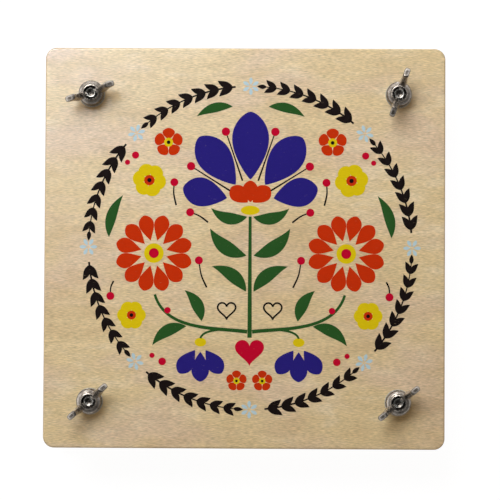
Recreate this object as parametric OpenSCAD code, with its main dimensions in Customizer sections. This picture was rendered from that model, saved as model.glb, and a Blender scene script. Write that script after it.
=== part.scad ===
// Flower press
// Two plywood boards squeeze a stack of corrugated cards and blotting papers.
// Four carriage bolts stand in the bottom board, and wing nuts on washers draw the top board down.
// Millimetres. Origin at the middle of the underside, +Z up, +Y towards the back edge.

/* [Boards] */
// Side of both square boards
board_side = 200; // [180:1:240]
// Thickness of each board
board_thick = 9; // [8.5:0.5:14]
// Radius of a board's corners, seen from above
board_corner_r = 5.5; // [3:0.5:14]
// Radius on a board's sanded edges
board_ease_r = 0.9; // [0.4:0.1:2]
// From a board's edges to the axis of a bolt
bolt_inset = 23.3; // [20:0.1:28]

/* [Sheets] */
// Bare rim between the edge of a board and the sheets
sheet_margin = 10; // [6:0.5:20]
// Gap between a bolt and the cut corner of a sheet
sheet_bolt_gap = 3.7; // [1.5:0.1:8]
// Thickness of a corrugated card
card_thick = 3; // [2.5:0.1:5]
// Thickness of each of a card's flat liners
card_liner = 0.35; // [0.2:0.05:0.5]
// Thickness of the wavy paper between the liners
card_wave_thick = 0.3; // [0.2:0.05:0.4]
// Length of one wave
card_wave_length = 6.6; // [5:0.1:10]
// Thickness of a blotting paper
blotter_thick = 1; // [0.4:0.1:2]

/* [Bolts] */
// Diameter of the shank
bolt_d = 6; // [5:0.5:8]
// Diameter of the domed head
head_d = 16; // [13:0.5:20]
// Height of the domed head
head_h = 3.4; // [2.5:0.1:4]
// Height of the straight rim of the head
head_rim_h = 0.7; // [0.4:0.1:1.2]
// Height of the square neck
neck_h = 4; // [2.5:0.1:4.2]
// Chamfer at the end of the shank
bolt_chamfer = 0.65; // [0.3:0.05:1]
// Depth of the cup that thread rolling leaves in the end
bolt_cup_depth = 0.4; // [0.1:0.05:0.6]
// How far the end stays below the top of a tight nut
bolt_end_below = 0.9; // [0.2:0.1:2.5]

/* [Washers] */
// Outer diameter of a washer
washer_d = 13.2; // [11:0.1:18]
// Thickness of a washer
washer_thick = 1.6; // [1:0.1:2]
// Bevel on the upper rim of a washer
washer_bevel = 0.25; // [0.1:0.05:0.4]

/* [Wing nuts] */
// Diameter of a nut's foot
nut_foot_d = 12.4; // [11.5:0.1:15]
// Height of the straight wall of the boss, above the foot
nut_rim_h = 5.2; // [3:0.1:5.6]
// Wall round the bore at the top of the boss
nut_wall = 1.2; // [0.9:0.05:1.8]
// Height of the boss
nut_h = 7.5; // [6:0.1:9]
// Rounding at the top of the boss
nut_round = 0.6; // [0.3:0.05:0.8]
// Chamfer at both mouths of the bore
nut_mouth = 0.35; // [0.2:0.05:0.6]
// Distance from wing tip to wing tip
wing_span = 25.4; // [24:0.2:32]
// Height of the wing tips above the foot
wing_h = 15; // [13.5:0.5:18]
// Height of a wing where it grows out of the boss
root_h = 6; // [4:0.1:6.5]
// Thickness of a wing where it grows out of the boss
root_thick = 4.2; // [3:0.1:5]
// Width of a wing at its waist
waist_w = 4.9; // [3.5:0.1:5.5]
// Thickness of a wing at its waist
waist_thick = 2.6; // [1.8:0.1:3]
// Width of the ear at a wing's end
ear_w = 5.6; // [4.5:0.1:6.5]
// Thickness of the ear at a wing's end
ear_thick = 2.9; // [2:0.1:3.6]
// Turn of the nut at the back left corner, in degrees
turn_back_left = 20; // [0:1:180]
// Turn of the nut at the back right corner, in degrees
turn_back_right = 71; // [0:1:180]
// Turn of the nut at the front left corner, in degrees
turn_front_left = 42; // [0:1:180]
// Turn of the nut at the front right corner, in degrees
turn_front_right = 39; // [0:1:180]

/* [Fits] */
// Radial clearance of the boards' holes round the shanks
board_hole_clear = 0.3; // [0.2:0.05:0.6]
// Radial clearance of a washer round the shank
washer_clear = 0.2; // [0.1:0.05:0.5]
// Radial clearance of a nut's bore round the shank
nut_clear = 0.05; // [0.02:0.01:0.1]
// Radial clearance of the sunk heads
head_clear = 0.5; // [0.2:0.1:1]
// How far a sunk head stays above the underside
head_sink = 0.8; // [0.4:0.1:1.4]

/* [Hidden] */
$fn = 64;
overrun = 1;                       // how far every cut runs past a face
corners = ["back_left", "back_right", "front_left", "front_right"];
corner_signs = [[-1, 1], [1, 1], [-1, -1], [1, -1]];
turns = [turn_back_left, turn_back_right, turn_front_left, turn_front_right];

// one letter a sheet, from the bottom up: c for a corrugated card, b for a blotting paper
stack_order = "cbbcbbcbbcbbc";
function sheet_thick(letter) = letter == "c" ? card_thick : blotter_thick;
function sheet_height(n) = n == 0 ? board_thick : sheet_height(n - 1) + sheet_thick(stack_order[n - 1]);
function place_of(letter, number, n = 0) =
    stack_order[n] != letter ? place_of(letter, number, n + 1)
    : number == 1 ? n
    : place_of(letter, number - 1, n + 1);
card_count = len([for (letter = stack_order) if (letter == "c") letter]);
blotter_count = len(stack_order) - card_count;

bolt_r = bolt_d / 2;
bolt_x = board_side / 2 - bolt_inset;
sheet_half = board_side / 2 - sheet_margin;
// on the line of a cut corner, x and y add up to this
corner_sum = 2 * bolt_x - (bolt_r + sheet_bolt_gap) * sqrt(2);

top_board_z = sheet_height(len(stack_order));
washer_z = top_board_z + board_thick;
nut_z = washer_z + washer_thick;
bolt_end_z = nut_z + nut_h - bolt_end_below;
head_seat_z = head_sink + head_h;
neck_top_z = head_seat_z + neck_h;
neck_side = bolt_d;
cup_share = 0.62;                  // radius of the cup, as a share of the shank's
nut_bore_r = bolt_r + nut_clear;

// places its children on one of the four bolt axes
module at_corner(n) {
    translate([corner_signs[n][0] * bolt_x, corner_signs[n][1] * bolt_x, 0]) children();
}

// half of a board's upright section: square at x = 0, rounded at x = reach
module board_section(reach) {
    square([reach - board_ease_r, board_thick]);
    translate([0, board_ease_r]) square([reach, board_thick - 2 * board_ease_r]);
    for (z = [board_ease_r, board_thick - board_ease_r])
        translate([reach - board_ease_r, z]) circle(board_ease_r);
}

// a straight stretch of board along x, rounded on the side away from y = 0
module board_stretch(length, reach) {
    rotate([90, 0, 90]) linear_extrude(length, center = true) board_section(reach);
}

// a square slab with rounded corners and eased edges: a middle, two edge strips and four corners
module eased_board() {
    straight = board_side - 2 * board_corner_r;
    for (turn = [0, 180]) rotate(turn) {
        rotate(90) board_stretch(straight, board_side / 2);
        translate([0, straight / 2, 0]) board_stretch(straight, board_corner_r);
    }
    for (turn = [0 : 90 : 270]) rotate(turn)
        translate([straight / 2, straight / 2, 0])
            rotate_extrude(angle = 90) board_section(board_corner_r);
}

module bottom_board() {
    color("burlywood") difference() {
        eased_board();
        for (n = [0 : len(corners) - 1]) at_corner(n) {
            // a flat-bottomed sinking for the head, the square seat of the neck, and the shank's hole
            translate([0, 0, -overrun]) cylinder(h = overrun + head_seat_z, r = head_d / 2 + head_clear);
            translate([-neck_side / 2, -neck_side / 2, 0]) cube([neck_side, neck_side, neck_top_z]);
            cylinder(h = board_thick + overrun, r = bolt_r + board_hole_clear);
        }
    }
}

module top_board() {
    color("wheat") translate([0, 0, top_board_z]) difference() {
        eased_board();
        for (n = [0 : len(corners) - 1]) at_corner(n)
            translate([0, 0, -overrun])
                cylinder(h = board_thick + 2 * overrun, r = bolt_r + board_hole_clear);
    }
}

// the outline of every sheet: a square with its corners cut off
module sheet_outline() {
    shoulder = corner_sum - sheet_half;
    polygon([
        for (turn = [0 : 90 : 270]) for (p = [[sheet_half, shoulder], [shoulder, sheet_half]])
            [p[0] * cos(turn) - p[1] * sin(turn), p[0] * sin(turn) + p[1] * cos(turn)]
    ]);
}

// Section of a corrugated card: two liners, and between them a sine wave of even thickness.
// The wave's crests are pressed into the liners by a third of the wavy paper's thickness.
module card_section() {
    steps = 12;
    rise = card_thick / 2 - card_liner - card_wave_thick / 6;
    waves = ceil(sheet_half / card_wave_length);
    function middle(a) = [card_wave_length * a / 360, card_thick / 2 + rise * sin(a)];
    function slope(a) = atan(rise * cos(a) * 2 * PI / card_wave_length);
    function side(a, way) = middle(a) + way * card_wave_thick / 2 * [-sin(slope(a)), cos(slope(a))];
    angles = [for (n = [-waves * steps : waves * steps]) n * 360 / steps];
    for (z = [0, card_thick - card_liner])
        translate([-sheet_half, z]) square([2 * sheet_half, card_liner]);
    polygon(concat(
        [for (a = angles) side(a, -1)],
        [for (n = [len(angles) - 1 : -1 : 0]) side(angles[n], 1)]
    ));
}

module corrugated_card(number) {
    color("tan") translate([0, 0, sheet_height(place_of("c", number))])
        intersection() {
            rotate([90, 0, 0]) linear_extrude(2 * sheet_half, center = true) card_section();
            linear_extrude(card_thick) sheet_outline();
        }
}

module blotting_paper(number) {
    color("ivory") translate([0, 0, sheet_height(place_of("b", number))])
        linear_extrude(blotter_thick) sheet_outline();
}

// shank with a chamfered, cupped end, square neck, and a domed head that points down
module carriage_bolt(n) {
    dome_h = head_h - head_rim_h;
    dome_r = (pow(head_d / 2, 2) + pow(dome_h, 2)) / (2 * dome_h);
    color("silver") at_corner(n) {
        rotate_extrude() polygon([
            [0, head_seat_z - head_rim_h],
            [bolt_r, head_seat_z - head_rim_h],
            [bolt_r, bolt_end_z - bolt_chamfer],
            [bolt_r - bolt_chamfer, bolt_end_z],
            [cup_share * bolt_r, bolt_end_z],
            [0, bolt_end_z - bolt_cup_depth]
        ]);
        translate([-neck_side / 2, -neck_side / 2, head_seat_z - head_rim_h])
            cube([neck_side, neck_side, neck_h + head_rim_h]);
        intersection() {
            translate([0, 0, head_sink]) cylinder(h = head_h, d = head_d);
            translate([0, 0, head_sink + dome_r]) sphere(dome_r);
        }
    }
}

module washer(n) {
    bore_r = bolt_r + washer_clear;
    color("silver") at_corner(n) translate([0, 0, washer_z])
        rotate_extrude() polygon([
            [bore_r, 0],
            [washer_d / 2, 0],
            [washer_d / 2, washer_thick - washer_bevel],
            [washer_d / 2 - washer_bevel, washer_thick],
            [bore_r, washer_thick]
        ]);
}

// a point on a curve bent from a over b to c, and the curve's direction there
function bent(a, b, c, u) = (1 - u) * (1 - u) * a + 2 * u * (1 - u) * b + u * u * c;
function bent_way(a, b, c, u) =
    let (way = (1 - u) * (b - a) + u * (c - b))
    way / norm(way);

// The body of a wing nut, turned: a straight wall, a shallow round shoulder and a low collar at the bore
module nut_boss() {
    foot_r = nut_foot_d / 2;
    top_r = nut_bore_r + nut_wall;
    collar_z = nut_h - nut_round;
    flank_steps = 8;
    round_steps = 4;
    foot_bevel_share = 0.06;
    lean_share = 0.15;             // how far the shoulder leans in as it rises from the wall
    slope_share = 0.35;            // how far it still rises on its way to the collar
    flank_foot = [foot_r, nut_rim_h];
    flank_top = [top_r, collar_z];
    flank_pull = [foot_r - lean_share * (foot_r - top_r), collar_z - slope_share * (collar_z - nut_rim_h)];
    rotate_extrude() polygon(concat(
        [[0, 0], [foot_r - foot_bevel_share * nut_rim_h, 0], [foot_r, foot_bevel_share * nut_rim_h]],
        [for (n = [0 : flank_steps]) bent(flank_foot, flank_pull, flank_top, n / flank_steps)],
        [for (n = [1 : round_steps])
            let (a = 90 * n / round_steps)
            flank_top + nut_round * [cos(a) - 1, sin(a)]],
        [[0, nut_h]]
    ));
}

// One wing, growing along +X. Rounded-rectangular rings ride on a bent spine out of the boss, narrow to
// a waist and swell to the ear, whose end closes as a rounded cap. The ear is set back from the wing's
// span and height by the reach of that cap, so that the wing ends exactly there.
module wing() {
    ring_steps = 24;
    spine_steps = 8;
    cap_steps = 5;
    squareness = 4;                // at 2 the rings would be ellipses
    ear_lean = 62;                 // angle of the ear above the level, in degrees
    cap_share = 0.2;               // length of the cap, as a share of the ear's width
    waist_share = 0.5;             // place of the waist along the spine
    cap_h = cap_share * ear_w;
    ear_way = [cos(ear_lean), sin(ear_lean)];

    function rounded(x) = sign(x) * pow(abs(x), 2 / squareness);
    function reach(along, across) =
        let (power = squareness / (squareness - 1))
        pow(pow(along, power) + pow(across, power), 1 / power);
    function swell(from, waist, to, u) = u < waist_share
        ? waist + (from - waist) * pow(1 - u / waist_share, 2)
        : waist + (to - waist) * pow(sin(90 * (u - waist_share) / (1 - waist_share)), 2);
    function ring(middle, way, tall, thick) = [
        for (n = [0 : ring_steps - 1])
            let (
                a = -360 * n / ring_steps,
                across = rounded(cos(a)) * tall / 2,
                side = rounded(sin(a)) * thick / 2
            )
            [middle[0] - across * way[1], side, middle[1] + across * way[0]]
    ];

    root = [nut_bore_r, nut_h / 2];
    ear = [
        wing_span / 2 - reach(cap_h * ear_way[0], ear_w / 2 * ear_way[1]),
        wing_h - reach(cap_h * ear_way[1], ear_w / 2 * ear_way[0])
    ];
    // the ear's own line meets the level of the root here
    bend = [ear[0] - (ear[1] - root[1]) / tan(ear_lean), root[1]];
    rings = concat(
        [for (n = [0 : spine_steps])
            let (u = n / spine_steps)
            ring(bent(root, bend, ear, u), bent_way(root, bend, ear, u),
                swell(root_h, waist_w, ear_w, u), swell(root_thick, waist_thick, ear_thick, u))],
        [for (n = [1 : cap_steps - 1])
            let (a = 90 * n / cap_steps, left = rounded(cos(a)))
            ring(ear + ear_way * cap_h * rounded(sin(a)), ear_way, ear_w * left, ear_thick * left)]
    );
    pole = ear + ear_way * cap_h;
    pole_point = len(rings) * ring_steps;
    polyhedron(
        points = concat([for (r = rings) each r], [[pole[0], 0, pole[1]]]),
        faces = concat(
            [[for (n = [0 : ring_steps - 1]) n]],
            [for (r = [0 : len(rings) - 2]) for (n = [0 : ring_steps - 1])
                let (m = (n + 1) % ring_steps, low = r * ring_steps, high = low + ring_steps)
                each [[low + n, high + n, low + m], [high + n, high + m, low + m]]],
            [for (n = [0 : ring_steps - 1])
                let (last = pole_point - ring_steps)
                [last + n, pole_point, last + (n + 1) % ring_steps]]
        ),
        convexity = 4
    );
}

module wing_nut(n) {
    mouth_r = nut_bore_r + nut_mouth;
    color("darkgray") at_corner(n) translate([0, 0, nut_z]) rotate(turns[n]) difference() {
        union() {
            nut_boss();
            for (turn = [0, 180]) rotate(turn) wing();
        }
        translate([0, 0, -overrun]) cylinder(h = nut_h + 2 * overrun, r = nut_bore_r);
        cylinder(h = nut_mouth, r1 = mouth_r, r2 = nut_bore_r);
        translate([0, 0, nut_h - nut_mouth]) cylinder(h = nut_mouth, r1 = nut_bore_r, r2 = mouth_r);
    }
}

bottom_board();
top_board();
for (n = [0 : len(corners) - 1]) {
    carriage_bolt(n);
    washer(n);
    wing_nut(n);
}
for (n = [1 : card_count])
    corrugated_card(n);
for (n = [1 : blotter_count])
    blotting_paper(n);
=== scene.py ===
import math

import bpy
import numpy as np
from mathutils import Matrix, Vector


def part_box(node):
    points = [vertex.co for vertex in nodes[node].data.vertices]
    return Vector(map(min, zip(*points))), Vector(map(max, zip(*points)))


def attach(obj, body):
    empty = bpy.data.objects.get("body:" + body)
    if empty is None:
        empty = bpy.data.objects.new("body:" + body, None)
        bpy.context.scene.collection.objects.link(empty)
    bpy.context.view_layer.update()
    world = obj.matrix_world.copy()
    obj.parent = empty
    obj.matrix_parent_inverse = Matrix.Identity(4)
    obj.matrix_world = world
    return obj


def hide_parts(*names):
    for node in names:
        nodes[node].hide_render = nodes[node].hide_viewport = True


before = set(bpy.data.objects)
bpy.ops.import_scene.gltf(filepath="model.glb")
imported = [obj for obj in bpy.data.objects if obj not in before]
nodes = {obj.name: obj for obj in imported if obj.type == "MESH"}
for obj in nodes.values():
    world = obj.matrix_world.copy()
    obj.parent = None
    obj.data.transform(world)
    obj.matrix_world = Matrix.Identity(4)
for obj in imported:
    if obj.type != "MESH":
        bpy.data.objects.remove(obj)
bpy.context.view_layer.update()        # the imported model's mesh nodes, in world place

# Flower press: two plywood boards, a stack of corrugated cards and blotting papers, and four
# carriage bolts with wing nuts. Shapes are worked out in millimetres and turned to metres once.
# A range in a dictionary holds low, high and, where they aren't 0 and 1, the values given there. A noise
# holds its scale in a millimetre, detail and roughness.
mm = 0.001
corners = ("back_left", "back_right", "front_left", "front_right")
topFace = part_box("top_board")[1].z / mm


def nodeBox(name):
    # lowest and highest corner of a CAD node, in millimetres
    low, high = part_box(name)
    return np.array(low) / mm, np.array(high) / mm


def nodePoints(name):
    # the vertices of a CAD node, in millimetres
    return np.array([v.co[:] for v in nodes[name].data.vertices]) / mm


def boltAxis(corner):
    # the x and y of a bolt's own middle
    low, high = nodeBox("carriage_bolt_" + corner)
    return (low[:2] + high[:2]) / 2


# Meshes

def gridFaces(rows, columns, wrapRows=False):
    # one quad for each cell of a grid whose columns wrap round
    r, c = np.meshgrid(np.arange(rows if wrapRows else rows - 1), np.arange(columns), indexing="ij")
    nextRow, nextColumn = (r + 1) % rows, (c + 1) % columns
    quads = [r * columns + c, r * columns + nextColumn, nextRow * columns + nextColumn, nextRow * columns + c]
    return np.stack(quads, axis=-1).reshape(-1, 4)


def shell(grid, ends="poles"):
    # A closed surface from rings of points, shaped (rings, points, 3). Each end is closed by a fan
    # round the middle of its ring, or the last ring runs into the first.
    rings, count = grid.shape[:2]
    points = grid.reshape(-1, 3)
    quads = gridFaces(rings, count, ends == "joined")
    fans = np.zeros((0, 3), int)
    if ends == "poles":
        points = np.vstack([points, grid[0].mean(axis=0), grid[-1].mean(axis=0)])
        n = np.arange(count)
        after = (n + 1) % count
        last = (rings - 1) * count
        bottom = np.column_stack([after, n, np.full(count, rings * count)])
        top = np.column_stack([last + n, last + after, np.full(count, rings * count + 1)])
        fans = np.vstack([bottom, top])
    return turnedOut(points, quads, fans)


def turnedOut(points, quads, fans):
    # the faces point outwards when the volume that they enclose comes out above zero
    triangles = np.vstack([quads[:, [0, 1, 2]], quads[:, [0, 2, 3]], fans])
    a, b, c = (points[triangles[:, n]] for n in range(3))
    if np.einsum("ij,ij->", a, np.cross(b, c)) < 0:
        quads, fans = quads[:, ::-1], fans[:, ::-1]
    return points, quads, fans


def ringWearAndLight(rings, count, ends="poles"):
    # the wear and painted light of each ring, given to every point of its shell
    amounts = np.repeat(rings, count)
    return np.append(amounts, [rings[0], rings[-1]]) if ends == "poles" else amounts


def newObject(name, data):
    item = bpy.data.objects.new(name, data)
    bpy.context.scene.collection.objects.link(item)
    return item


def makePiece(name, shells, material, body, replaced=(), sharpAngle=35.0, wearAndPaintedLight=None):
    # One object from closed shells. Edges steeper than sharpAngle stay crisp. The wear of each shell's
    # points is 1 for settled dirt and painted shade, and -1 for bare metal and painted highlights.
    points, faces, start = [], [], 0
    for shellPoints, quads, fans in shells:
        points.append(shellPoints)
        faces += (quads + start).tolist() + (fans + start).tolist()
        start += len(shellPoints)
    mesh = bpy.data.meshes.new(name)
    mesh.from_pydata((np.vstack(points) * mm).tolist(), [], faces)
    mesh.shade_smooth()
    mesh.set_sharp_from_angle(angle=math.radians(sharpAngle))
    if wearAndPaintedLight is not None:
        layer = mesh.attributes.new("wearAndPaintedLight", "FLOAT", "POINT")
        layer.data.foreach_set("value", np.concatenate(wearAndPaintedLight).astype(np.float32))
    mesh.materials.append(material)
    piece = newObject(name, mesh)
    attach(piece, body)
    if replaced:
        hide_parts(*replaced)


def fullTurn(count):
    # the angles of evenly spaced points on a circle
    return np.linspace(0, 2 * math.pi, count, endpoint=False)


def revolved(radius, z, count):
    # Rings of points round an upright axis, by sine and cosine. The height z is a column, and so is
    # the radius unless it has a value for each point.
    turn = fullTurn(count)
    radius = np.broadcast_to(radius, (len(z), count))
    return np.dstack([radius * np.cos(turn), radius * np.sin(turn), np.broadcast_to(z, radius.shape)])


def bent(a, b, c, t):
    # points on a quadratic curve from a to c that b pulls aside, and its direction there
    t = np.asarray(t)[:, None]
    points = (1 - t) ** 2 * a + 2 * t * (1 - t) * b + t ** 2 * c
    way = (1 - t) * (b - a) + t * (c - b)
    return points, way / np.linalg.norm(way, axis=1)[:, None]


def softened(points, reach, steps=4):
    # each inner corner of an open line becomes a quadratic curve that starts and ends reach away
    points = np.asarray(points, float)
    line = [points[:1]]
    for before, corner, after in zip(points[:-2], points[1:-1], points[2:]):
        ends = [corner + (p - corner) / np.linalg.norm(p - corner) * reach for p in (before, after)]
        line.append(bent(ends[0], corner, ends[1], np.linspace(0, 1, steps + 1))[0])
    return np.vstack(line + [points[-1:]])


# Node trees

def paint(red, green, blue):
    # an sRGB colour, 0 to 255, as the linear one that a shader takes
    c = np.array([red, green, blue]) / 255
    c = np.where(c <= 0.04045, c / 12.92, ((c + 0.055) / 1.055) ** 2.4)
    return (*c.tolist(), 1.0)


class Nodes:
    # the nodes of one material or world; each value they take is a number, a colour or a link

    def __init__(self, owner):
        owner.use_nodes = True
        self.tree = owner.node_tree

    def feed(self, node, sockets):
        for socket, value in dict(sockets).items():
            if isinstance(value, bpy.types.NodeSocket):
                self.tree.links.new(value, node.inputs[socket])
            else:
                node.inputs[socket].default_value = value
        return node

    def add(self, kind, sockets=(), **settings):
        node = self.tree.nodes.new("ShaderNode" + kind)
        for key, value in settings.items():
            setattr(node, key, value)
        return self.feed(node, sockets)

    def calc(self, operation, *values):
        return self.add("Math", dict(enumerate(values)), operation=operation).outputs[0]

    def plus(self, a, b):
        return self.calc("ADD", a, b)

    def times(self, a, b):
        return self.calc("MULTIPLY", a, b)

    def blend(self, factor, a, b, kind="MIX"):
        # a mix of two colours, which are the node's inputs 6 and 7
        sockets = {0: factor, 6: a, 7: b}
        return self.add("Mix", sockets, data_type="RGBA", blend_type=kind, clamp_factor=True).outputs[2]

    def blendValue(self, factor, a, b):
        # a mix of two plain numbers, which are the node's inputs 2 and 3
        return self.add("Mix", {0: factor, 2: a, 3: b}, data_type="FLOAT").outputs[0]

    def between(self, value, low, high, toLow=0.0, toHigh=1.0):
        # a smooth change from toLow to toHigh while the value goes from low to high
        sockets = {"Value": value, "From Min": low, "From Max": high, "To Min": toLow, "To Max": toHigh}
        return self.add("MapRange", sockets, interpolation_type="SMOOTHSTEP").outputs[0]

    def vector(self, x, y, z):
        return self.add("CombineXYZ", {0: x, 1: y, 2: z}).outputs[0]

    def split(self, place):
        return self.add("SeparateXYZ", {0: place}).outputs

    def noise(self, place, scale, detail, rough, distortion=0.0):
        sockets = {"Vector": place, "Scale": scale, "Detail": detail, "Roughness": rough}
        return self.add("TexNoise", {**sockets, "Distortion": distortion}).outputs[0]

    def place(self):
        # the piece's own coordinates in millimetres, as x, y and z
        place = self.add("TexCoord").outputs["Object"]
        return self.split(self.add("VectorMath", {0: place, "Scale": 1 / mm}, operation="SCALE").outputs[0])

    def finish(self, colour, height, distance, rough):
        # feeds the main shader; the bump's height runs from 0 to 1 and its distance is in millimetres
        bump = self.add("Bump", {"Height": height, "Distance": distance * mm, "Strength": 1.0})
        self.feed(self.shader, {"Base Color": colour, "Roughness": rough, "Normal": bump.outputs[0]})


def newMaterial(name, sockets=()):
    # a material and its nodes, with values for some of the main shader's sockets
    material = bpy.data.materials.new(name)
    n = Nodes(material)
    n.shader = n.tree.nodes["Principled BSDF"]
    n.feed(n.shader, sockets)
    return material, n


# Birch plywood

birchPly = {
    "plies": 7, "edgeHold": 0.01, "plyShift": 53.7,
    "seeds": {"top_board": 11.0, "bottom_board": 431.0}, "acrossSeed": 1.7,
    "pale": paint(225, 205, 166), "body": paint(211, 186, 143), "deep": paint(193, 162, 116),
    "rosy": paint(210, 182, 147), "golden": paint(212, 186, 134),
    "endGrain": paint(166, 127, 84), "glue": paint(112, 79, 48),
    # noises: scales along, across and through the grain, detail, roughness and distortion
    "dashes": (0.42, 3.8, 3.8, 3.0, 0.5, 0.15), "middling": (0.075, 0.42, 0.4, 3.0, 0.55, 0.4),
    "clouds": (0.010, 0.026, 0.02, 3.0, 0.55, 0.4), "curl": (0.06, 0.17, 0.12, 2.0, 0.5, 0.5),
    "contour": (0.0045, 0.017, 0.25, 2.0, 0.45, 0.5), "mottle": (0.018, 0.042, 0.05, 3.0, 0.5, 0.3),
    "flecks": (0.42, 1.3, 1.0, 2.0, 0.5, 0.0), "mineral": (0.022, 0.42, 0.3, 1.0, 0.4, 0.6),
    "pores": (2.2, 2.2, 2.2, 2.0, 0.6, 0.0),
    "ringRange": (0.0, 0.34, 0.02, 0.0), "goldenRange": (0.33, 0.58),
    "deepRange": (0.5, 0.34, 0.0, 0.5), "paleRange": (0.5, 0.66, 0.0, 0.6),
    "fleckRange": (0.67, 0.74), "mineralRange": (0.74, 0.78, 0.0, 0.12), "poreRange": (0.35, 0.65),
    "glueRange": (0.45, 0.49, 0.0, 0.8), "sideRange": (0.2, 0.6), "roughRange": (0.35, 0.65, 0.37, 0.29),
    "dashShare": 0.88, "curlShare": 0.45, "tintShare": 0.75, "fleckShare": 0.14, "endShare": 0.85,
    "contourTurns": 58.0, "streakGain": 1.75, "streakBase": 0.135,
    "sideRough": 0.7, "sheen": 0.65, "fleckDip": 0.5, "relief": 0.05,
}


def grain(n, board):
    # A point's place along and across the grain of its own ply. Every other ply is turned by a quarter,
    # and each has its own stretch of the noise.
    look = birchPly
    low, high = nodeBox(board)
    seed = look["seeds"][board]
    x, y, z = n.place()
    inPlies = n.times(n.calc("SUBTRACT", z, low[2]), look["plies"] / (high[2] - low[2]))
    held = n.calc("MAXIMUM", inPlies, look["edgeHold"])
    ply = n.calc("FLOOR", n.calc("MINIMUM", held, look["plies"] - look["edgeHold"]))
    turned = n.calc("MODULO", ply, 2.0)
    shift = n.times(ply, look["plyShift"])
    along = n.plus(n.blendValue(turned, x, y), n.plus(shift, seed))
    across = n.plus(n.blendValue(turned, y, x), n.plus(shift, seed * look["acrossSeed"]))
    return {"along": along, "across": across, "z": z, "inPlies": inPlies, "turned": turned}


def woodNoise(n, place, name):
    # one of the plywood's noises, with its own scales along, across and through the grain
    *scales, detail, rough, distortion = birchPly[name]
    ways = place["along"], place["across"], place["z"]
    return n.noise(n.vector(*map(n.times, ways, scales)), 1.0, detail, rough, distortion)


def fibres(n, place):
    # short wavy dashes and middling streaks along the grain, from 0 to 1
    middling, dashes = woodNoise(n, place, "middling"), woodNoise(n, place, "dashes")
    return n.blendValue(birchPly["dashShare"], middling, dashes)


def plywoodMaterial(name, board):
    look = birchPly
    material, n = newMaterial(name, {"Specular IOR Level": look["sheen"]})
    place = grain(n, board)
    streaks = fibres(n, place)
    # broad clouds of tone, shorter wavy ones, and the contour lines of a peeled veneer
    clouds, curl = woodNoise(n, place, "clouds"), woodNoise(n, place, "curl")
    contour = n.times(woodNoise(n, place, "contour"), look["contourTurns"])
    rings = n.between(n.calc("ABSOLUTE", n.calc("SINE", contour)), *look["ringRange"])
    tone = n.calc("SUBTRACT", n.blendValue(look["curlShare"], clouds, curl), rings)
    # warm mottles: rosy in one place, golden in the next
    golden = n.between(woodNoise(n, place, "mottle"), *look["goldenRange"])
    tint = n.blend(golden, look["rosy"], look["golden"])
    colour = n.blend(look["tintShare"], look["body"], tint)
    colour = n.blend(n.between(tone, *look["deepRange"]), colour, look["deep"])
    colour = n.blend(n.between(tone, *look["paleRange"]), colour, look["pale"])
    strength = n.plus(n.times(streaks, look["streakGain"]), look["streakBase"])
    colour = n.blend(1.0, colour, n.vector(strength, strength, strength), "MULTIPLY")
    # short brown flecks, and a few hair-thin mineral streaks
    fleck = n.between(woodNoise(n, place, "flecks"), *look["fleckRange"])
    colour = n.blend(n.times(fleck, look["fleckShare"]), colour, look["endGrain"])
    mineral = n.between(woodNoise(n, place, "mineral"), *look["mineralRange"])
    colour = n.blend(mineral, colour, look["glue"])
    # on the sides: end grain on every other ply, and dark glue lines between the plies
    facing = n.split(n.add("TexCoord").outputs["Normal"])
    alongFacing = n.blendValue(place["turned"], facing[0], facing[1])
    endGrain = n.times(n.times(alongFacing, alongFacing), look["endShare"])
    pores = n.between(woodNoise(n, place, "pores"), *look["poreRange"])
    colour = n.blend(endGrain, colour, n.blend(pores, look["endGrain"], look["deep"]))
    inPly = n.calc("ABSOLUTE", n.calc("SUBTRACT", n.calc("FRACT", place["inPlies"]), 0.5))
    upright = n.calc("SUBTRACT", 1.0, n.calc("ABSOLUTE", facing[2]))
    side = n.between(upright, *look["sideRange"])
    glue = n.times(n.between(inPly, *look["glueRange"]), side)
    colour = n.blend(glue, colour, look["glue"])
    rough = n.blendValue(side, n.between(streaks, *look["roughRange"]), look["sideRough"])
    height = n.calc("SUBTRACT", streaks, n.times(fleck, look["fleckDip"]))
    n.finish(colour, height, look["relief"], rough)
    return material


def dress(node, material):
    # gives a CAD node its finish
    nodes[node].data.materials.clear()
    nodes[node].data.materials.append(material)


dress("top_board", plywoodMaterial("birch ply, printed board", "top_board"))
dress("bottom_board", plywoodMaterial("birch ply, base", "bottom_board"))
print("boards dressed")


# The print: a mirrored bouquet inside a laurel ring. A shape is a spine, an (n, 2) array of points in
# millimetres from the middle of the design, with half its width at each of them.

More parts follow.
